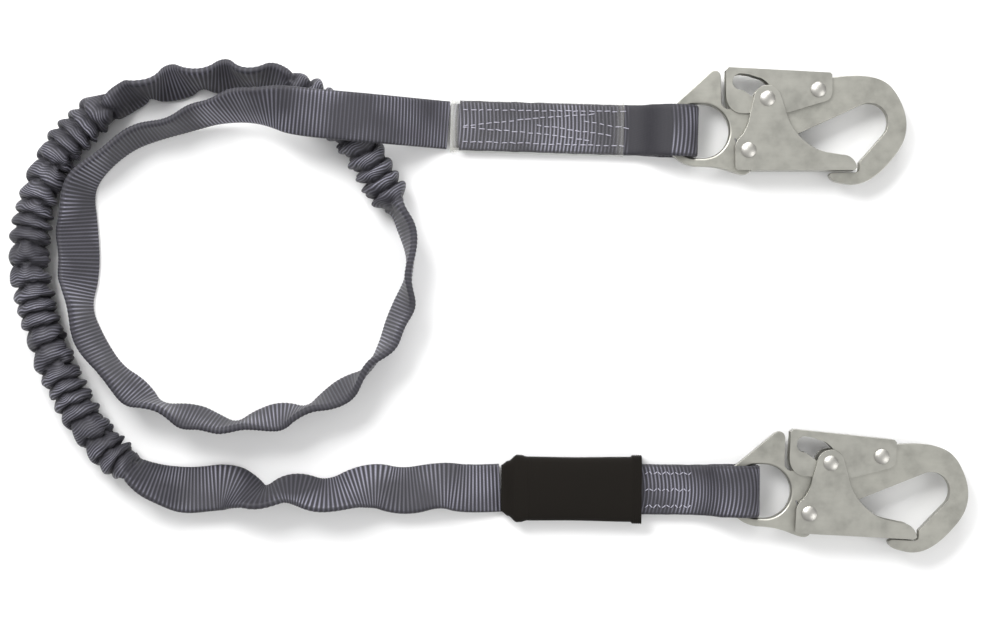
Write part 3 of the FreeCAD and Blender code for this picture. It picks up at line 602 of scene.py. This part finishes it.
def jacket_ring(distance, cloth, shape):
    """Offsets (across, out, forward) of the jacket's surface from its middle, and how far its ribs stand
    out, lowered in the creases of the gathers as painted shade. Shape is (lean, gathered)."""
    weight = smoothstep(shape.y)
    leaning = math.sin(math.radians(shape.x))
    wave = 1.3 * MM * math.sin(distance * 190.0 + 1.1 * math.sin(distance * 47.0)) * leaning
    ring, ribs = [], []
    for (u, v), turn, run in zip(RING, RING_TURN, cloth):
        rib_relief_and_painted_light = 1.0
        crown = 0.35 * MM * (1 - u * u)
        rib = RIB_HEIGHT * math.sin(2 * math.pi * run / RIB_PITCH)
        flat = (u * HALF_WIDTH, v * (HALF_THICKNESS + crown + rib) + wave * (u + 1) / 2, 0.0)
        if weight > 0.001:
            radius, forward, back = folded(distance, turn)
            folds = (radius * math.cos(turn), radius * math.sin(turn), forward)
            flat = tuple(a + (b - a) * weight for a, b in zip(flat, folds))
            # Painted shade: in the gathers the ribs and their painted highlights fade in the creases between
            # folds, so the creases read darker.
            rib_relief_and_painted_light = 1 - 0.8 * weight * (1 - back ** 2)
        ring.append(flat)
        ribs.append(rib_relief_and_painted_light)
    return ring, ribs


def swept(route, step, ring_at, side=None, keep_above=None, bow=0.0):
    """Rings of points along a route, with the cloth's distances. Side fixes the direction across, and bow
    is how far the ribs' ends trail their middles."""
    rings, along, across = [], [], []
    cloth = [bow * u * u for u, v in RING]
    count = max(2, round(route.length / step))
    for n in range(count + 1):
        distance = route.length * n / count
        place, heading, shape = route.read(distance)
        sideways = side or leaning_side(heading, math.radians(shape.x))
        out = sideways.cross(heading).normalized()
        ring = ring_at(distance, cloth, shape)
        points = [place + sideways * a + out * b + heading * c for a, b, c in ring]
        if keep_above is not None:
            deficit = keep_above - min(p.z for p in points)
            if deficit > 0:
                points = [p + UP * deficit for p in points]
        if rings:
            steps = [(p - q).length for p, q in zip(points, rings[-1])]
            cloth = [c + sum(steps) / len(steps) for c in cloth]
        rings.append(points)
        along += cloth
        across += [a for a, b, c in ring]
    return rings, along, across


def strap_piece(name, swept_rings, slot, ribs=None):
    """Closed strap through the rings that swept made."""
    rings, along, across = swept_rings
    vertices = [p for ring in rings for p in ring]
    faces = tube_faces(len(rings), len(RING))
    attributes = {"along": along, "across": across, "ribs": ribs or [1.0] * len(along)}
    return mesh_piece(name, vertices, faces, attributes, slot)


def make_jacket():
    places, shapes = jacket_controls()
    route = Route(places, shapes)
    ribs = []

    def cloth_ring(distance, cloth, shape):
        ring, rib_relief_and_painted_light = jacket_ring(distance, cloth, shape)
        ribs.extend(rib_relief_and_painted_light)
        return ring

    jacket = strap_piece("jacket", swept(route, RING_STEP, cloth_ring, keep_above=0.1 * MM), "webbing", ribs)
    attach(jacket, "webbing")
    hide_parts("jacket_top_run", "jacket_twist", "jacket_loop", "jacket_gathers_under",
                "jacket_return", "jacket_gathers_outer", "jacket_bottom_run")

    def core_ring(distance, cloth, shape):
        narrow = 1 - 0.55 * smoothstep(shape.y)
        return [(u * CORE_HALF_WIDTH * narrow, v * CORE_HALF_THICKNESS, 0.0) for u, v in RING]

    core_rings = swept(route, CORE_STEP, core_ring, keep_above=1.5 * MM)
    core = strap_piece("energy_core_strap", core_rings, "energy_core")
    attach(core, "webbing")
    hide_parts("energy_core")


make_jacket()


# ---------------------------------------------------------------- sewn ends

LAYER = 3.2 * MM
LAYER_GAP = 0.3 * MM
LIFT = {"a": 0.8 * MM, "b": 1.6 * MM}
TAIL_END = {"a": -0.138, "b": -0.132}
END_REACH = {"a": -0.143, "b": -0.149}
LOOP_TIP = -0.0034


def bends_with_hook(piece):
    """Bakes the piece's placement into its mesh."""
    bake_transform(piece)


RIB_BOW = {"a": 1.2 * MM, "b": 2.4 * MM}
# Where the top layer has no ribs, along the webbing from the middle of the eye.
PLAIN = {"a": (-0.042, -0.0165), "b": (0.0, 0.0)}


def sewn_end(end):
    low = LAYER / 2
    raised = low + LIFT[end]
    high = raised + LAYER + LAYER_GAP
    top = 2 * HOOK_MIDDLE - low
    full, loop, inside = 14.3, 14.8, 12.6
    side_view = [
        (TAIL_END[end], high, full), (-0.110, high, full), (-0.080, high, full), (-0.055, high, full),
        (-0.035, high, full), (-0.022, top, loop), (LOOP_TIP, top, loop), (LOOP_TIP, low, loop),
        (-0.023, low, loop), (-0.033, raised, full), (-0.060, raised, full), (-0.100, raised, full),
        (END_REACH[end], raised, inside),
    ]
    place = end_frame(end)
    places = [place @ Vector((x, 0, z)) for x, z, half in side_view]
    shapes = [(half, 0.0, x) for x, z, half in side_view]
    route = Route(places, shapes, steps=16)
    first, last = PLAIN[end]
    ribs = []

    def ring_at(distance, cloth, shape):
        on_top = distance < 0.55 * route.length
        entering = smoothstep((shape.z - first) / (1.5 * MM))
        leaving = smoothstep((last - shape.z) / (1.5 * MM))
        rib_relief_and_painted_light = 1 - 0.88 * entering * leaving * on_top
        ribs.extend([rib_relief_and_painted_light] * len(RING))
        half = shape.x * MM + 0.25 * MM * noise.noise(Vector((distance * 140.0, 5.0, 1.0)))
        ring = []
        for (u, v), run in zip(RING, cloth):
            rib = rib_relief_and_painted_light * RIB_HEIGHT * math.sin(2 * math.pi * run / RIB_PITCH)
            ring.append((u * half, v * (LAYER / 2 - 0.15 * MM + rib), 0.0))
        return ring

    side = (place.to_3x3() @ Vector((0, 1, 0))).normalized()
    strap = swept(route, RING_STEP, ring_at, side=side, keep_above=0.05 * MM, bow=RIB_BOW[end])
    piece = strap_piece(f"sewn_webbing_{end}", strap, "webbing", ribs)
    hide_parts(f"sewn_end_{end}")
    bends_with_hook(piece)


def wear_pad(end):
    inset = LAYER + 1.5 * MM
    tip = LOOP_TIP + LAYER / 2 - inset
    low, top = inset, 2 * HOOK_MIDDLE - inset
    place = end_frame(end)
    side_view = [(-0.0135, top), (-0.009, top), (tip, top), (tip, low), (-0.009, low), (-0.0135, low)]
    places = [place @ Vector((x, 0, z)) for x, z in side_view]
    route = Route(places, [(0.0, 0.0, 0.0)] * len(places), steps=16)

    def ring_at(distance, cloth, shape):
        rib = 0.5 * RIB_HEIGHT * math.sin(2 * math.pi * cloth[0] / RIB_PITCH)
        return [(u * 8.8 * MM, v * (0.4 * MM + rib), 0.0) for u, v in RING]

    side = (place.to_3x3() @ Vector((0, 1, 0))).normalized()
    piece = strap_piece(f"loop_lining_{end}", swept(route, RING_STEP, ring_at, side=side), "wear_pad")
    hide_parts(f"wear_pad_{end}")
    bends_with_hook(piece)


# ---------------------------------------------------------------- stitching

THREAD_RADIUS = 0.24 * MM
THREAD_SIDES = 6


def thread_rings(points):
    rings = []
    for n, place in enumerate(points):
        heading = (points[min(n + 1, len(points) - 1)] - points[max(n - 1, 0)]).normalized()
        side = heading.cross(UP).normalized()
        up = side.cross(heading)
        ring = []
        for k in range(THREAD_SIDES):
            turn = 2 * math.pi * k / THREAD_SIDES
            ring.append(place + (side * math.cos(turn) + up * math.sin(turn)) * THREAD_RADIUS)
        rings.append(ring)
    return rings


def stitch(start, end, level):
    """One stitch: it rises out of the cloth, lies on it and dives back in."""
    points = []
    for t, height in ((0.0, -0.5), (0.12, 0.05), (0.5, 0.25), (0.88, 0.05), (1.0, -0.5)):
        flat = start.lerp(end, t)
        points.append(Vector((flat.x, flat.y, level + height * MM)))
    return thread_rings(points)


def stitched_line(corners, level, draw, length=3.0 * MM, gap=1.4 * MM, stagger=0.0):
    """Stitches along a line of corners. Stagger sets each one a little to the other side."""
    found = []
    for a, b in zip(corners, corners[1:]):
        a, b = Vector(a), Vector(b)
        run = (b - a).length
        heading = (b - a).normalized()
        beside = Vector((-heading.y, heading.x))
        steps = int(run / (length + gap))
        for n in range(steps):
            start = a + heading * (n * run / steps)
            swing = stagger if n % 2 else -stagger
            first = start + beside * (swing + draw.uniform(-0.3, 0.3) * MM)
            reach = length * draw.uniform(0.8, 1.2)
            aside = -swing + draw.uniform(-0.3, 0.3) * MM
            last = start + heading * reach + beside * aside
            found.append(stitch(Vector((*first, 0)), Vector((*last, 0)), level))
    return found


STITCH_LINES = {
    "a": [
        [(-0.136, 0.0090), (-0.042, 0.0104)],
        [(-0.136, -0.0092), (-0.042, -0.0093)],
        [(-0.136, -0.0004), (-0.092, 0.0056), (-0.060, 0.0086)],
        [(-0.136, -0.0010), (-0.094, -0.0034), (-0.062, -0.0068)],
        [(-0.067, 0.0042), (-0.040, 0.0006)],
        [(-0.094, 0.0014), (-0.050, -0.0036)],
    ],
    "b": [[(-0.067, y), (-0.040, y)] for y in (-0.0094, 0.0, 0.0094)],
}
STITCH_STYLE = {
    "a": {"length": 3.0 * MM, "gap": 1.3 * MM},
    "b": {"length": 1.6 * MM, "gap": 0.7 * MM, "stagger": 0.7 * MM},
}


def stitching(end):
    level = LIFT[end] + 2 * LAYER + LAYER_GAP
    draw = random.Random(f"stitches {end}")
    groups = []
    for corners in STITCH_LINES[end]:
        groups += stitched_line(corners, level, draw, **STITCH_STYLE[end])
    vertices, faces = [], []
    place = end_frame(end)
    for rings in groups:
        faces += tube_faces(len(rings), THREAD_SIDES, first=len(vertices))
        vertices += [place @ p for ring in rings for p in ring]
    piece = mesh_piece(f"stitches_{end}", vertices, faces, on_plan(vertices), "thread")
    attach(piece, "webbing")
    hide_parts(f"stitching_{end}")


for end in HOOK_TURN:
    sewn_end(end)
    wear_pad(end)
    stitching(end)


# ---------------------------------------------------------------- sleeve and label cover

# How much of a shell's length the painted glint at its left mouth takes. The right one is fainter.
MOUTH_GLINT_SHARE = 0.06

def rounded_box_ring(half_width, low, high, corner, crown=0.0, sides=9, ends=5):
    """Ring of (across, up) of a box with round corners, its top raised by crown at the middle."""
    ring = []
    centres = [(half_width - corner, high - corner, 0), (-half_width + corner, high - corner, 90),
               (-half_width + corner, low + corner, 180), (half_width - corner, low + corner, 270)]
    for number, (x, z, first) in enumerate(centres):
        for k in range(ends + 1):
            turn = math.radians(first + 90 * k / ends)
            ring.append((x + corner * math.cos(turn), z + corner * math.sin(turn)))
        following = centres[(number + 1) % 4]
        if number in (0, 2):
            edge = high if number == 0 else low
            for k in range(1, sides):
                t = k / sides
                across = x + (following[0] - x) * t
                rise = crown * (1 - (across / half_width) ** 2) if number == 0 else 0.0
                ring.append((across, edge + rise))
    return ring


def shell(name, stations, wall, slot, end):
    """Open-ended shell. Each station is (distance along, half width, low, high, corner, crown)."""
    place = end_frame(end)
    outside, inside = [], []
    for x, half, low, high, corner, crown in stations:
        outer = rounded_box_ring(half, low, high, corner, crown)
        inner = rounded_box_ring(half - wall, low + wall, high - wall, max(corner - wall, 0.15 * MM), crown)
        outside.append([place @ Vector((x, a, z)) for a, z in outer])
        inside.append([place @ Vector((x, a, z)) for a, z in inner])
    loops = outside + inside[::-1]
    count = len(loops[0])
    vertices = [p for ring in loops for p in ring]
    length = stations[-1][0] - stations[0][0]
    # Painted glint: the film is drawn more opaque at its left mouth and a little at its right, through the
    # 'rim' attribute.
    mouth_glints = []
    for x, *_ in stations:
        t = (x - stations[0][0]) / length
        mouth_glints.append(smoothstep(1 - t / MOUTH_GLINT_SHARE) + 0.25 * smoothstep(1 - (1 - t) / MOUTH_GLINT_SHARE))
    rim = [value for value in mouth_glints + mouth_glints[::-1] for _ in range(count)]
    faces = tube_faces(len(loops), count, closed=True)
    piece = mesh_piece(name, vertices, faces, {**on_plan(vertices), "rim": rim}, slot)
    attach(piece, "webbing")
    return piece


SLEEVE_START = END_REACH["a"] - 0.0002
SLEEVE_LENGTH = 0.099
COVER_START = END_REACH["b"] - 0.0002
COVER_LENGTH = 0.080
HEM_LENGTH = 0.0056
HEM_RIDGE = 0.0011
SEAM = 0.0154  # from the cover's left end


def clear_sleeve():
    stations = []
    count = 90
    for n in range(count + 1):
        t = n / count
        x = SLEEVE_START + SLEEVE_LENGTH * t
        ripple = 0.22 * MM * noise.noise(Vector((x * 210.0, 2.0, 7.0)))
        mouth = 0.5 * MM * (math.exp(-t / 0.03) + math.exp(-(1 - t) / 0.02))
        half = 15.3 * MM + ripple + 0.4 * mouth
        stations.append((x, half, 0.02 * MM, 8.75 * MM + ripple + 0.5 * mouth, 2.6 * MM, 0.0))
    piece = shell("sleeve_film", stations, 0.35 * MM, "clear_sleeve", "a")
    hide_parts("clear_sleeve")


# Half width of the label cover along its length, in mm from its left end: a narrow mouth, ears, then
# straight, and a wider hem.
COVER_OUTLINE = [
    (0.0, 13.2), (4.0, 15.6), (9.0, 19.1), (11.0, 19.0), (15.0, 18.1), (40.0, 17.9), (74.0, 18.4),
    (74.6, 19.3), (80.0, 19.4),
]


def outline_at(stations, x):
    for (x0, y0), (x1, y1) in zip(stations, stations[1:]):
        if x <= x1:
            return y0 + (y1 - y0) * smoothstep((x - x0) / (x1 - x0))
    return stations[-1][1]


def label_cover():
    stations = []
    count = 220
    for n in range(count + 1):
        t = n / count
        x = COVER_LENGTH * t
        half = outline_at(COVER_OUTLINE, x / MM) * MM
        from_hem = COVER_LENGTH - x
        ridge = 0.0
        if from_hem < HEM_LENGTH:
            ridge = 0.22 * MM * math.sin(2 * math.pi * from_hem / HEM_RIDGE)
        sag = 0.30 * MM * noise.noise(Vector((x * 60.0, 4.0, 2.0)))
        mouth = smoothstep(x / 0.009)
        seam = 0.35 * MM * math.exp(-(((x - SEAM) / (0.6 * MM)) ** 2))
        high = (9.4 + 2.9 * mouth) * MM + sag + ridge - seam
        corner = (1.9 + 1.2 * mouth) * MM
        stations.append((COVER_START + x, half + ridge, 0.02 * MM, high, corner, 0.9 * MM * mouth))
    piece = shell("cover_cloth", stations, 0.6 * MM, "label_cover", "b")
    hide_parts("label_cover")


clear_sleeve()
label_cover()


# ---------------------------------------------------------------- snap hooks


def rounded_copy(node, name, radius, slot, body, segments=3):
    """The CAD piece with its sharp edges rounded, as forging and pressing leave them."""
    data = nodes[node].data.copy()
    data.name = name
    made = bmesh.new()
    made.from_mesh(data)
    bmesh.ops.remove_doubles(made, verts=made.verts, dist=2e-6)
    bmesh.ops.dissolve_limit(made, angle_limit=math.radians(0.05), verts=made.verts, edges=made.edges)
    sharp = [e for e in made.edges if len(e.link_faces) == 2 and e.calc_face_angle() > math.radians(40)]
    bmesh.ops.bevel(made, geom=sharp, offset=radius, offset_type="OFFSET", segments=segments, profile=0.5,
                    affect="EDGES", clamp_overlap=True)
    bmesh.ops.recalc_face_normals(made, faces=made.faces)
    bmesh.ops.triangulate(made, faces=[f for f in made.faces if len(f.verts) > 4])
    made.to_mesh(data)
    made.free()
    data.polygons.foreach_set("use_smooth", [True] * len(data.polygons))
    piece = bpy.data.objects.new(name, data)
    bpy.context.scene.collection.objects.link(piece)
    smoothing = piece.modifiers.new("flat faces", "WEIGHTED_NORMAL")
    smoothing.keep_sharp = True
    finish_as(piece, slot)
    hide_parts(node)
    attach(piece, body)
    return piece


for end in HOOK_TURN:
    rounded_copy(f"hook_body_{end}", f"forged_hook_{end}", 0.9 * MM, "forged_steel", f"hook_{end}")
    rounded_copy(f"gate_{end}", f"folded_gate_{end}", 0.5 * MM, "sheet_steel", f"gate_group_{end}")
    rounded_copy(f"lock_lever_{end}", f"folded_lever_{end}", 0.4 * MM, "sheet_steel", f"lock_group_{end}")

for entry in frame["record"]["subparts"]:
    shown = nodes[entry["node"]]
    if not shown.hide_render:
        shown.data.materials.clear()
        shown.data.materials.append(MATERIALS[entry["material_slot"]])


# ---------------------------------------------------------------- floor

FLOOR_HALF_SIDE = 3.0

def make_floor():
    data = bpy.data.meshes.new("floor")
    half = FLOOR_HALF_SIDE
    corners = [(-half, -half, 0), (half, -half, 0), (half, half, 0), (-half, half, 0)]
    data.from_pydata(corners, [], [(0, 1, 2, 3)])
    floor = bpy.data.objects.new("floor", data)
    bpy.context.scene.collection.objects.link(floor)
    m = Material("floor", Roughness=0.9)
    m.colour(m.ramp(m.noise(3.0), [(0.3, (0.86, 0.86, 0.86)), (0.7, (0.89, 0.89, 0.89))]))
    data.materials.append(m.material)


make_floor()
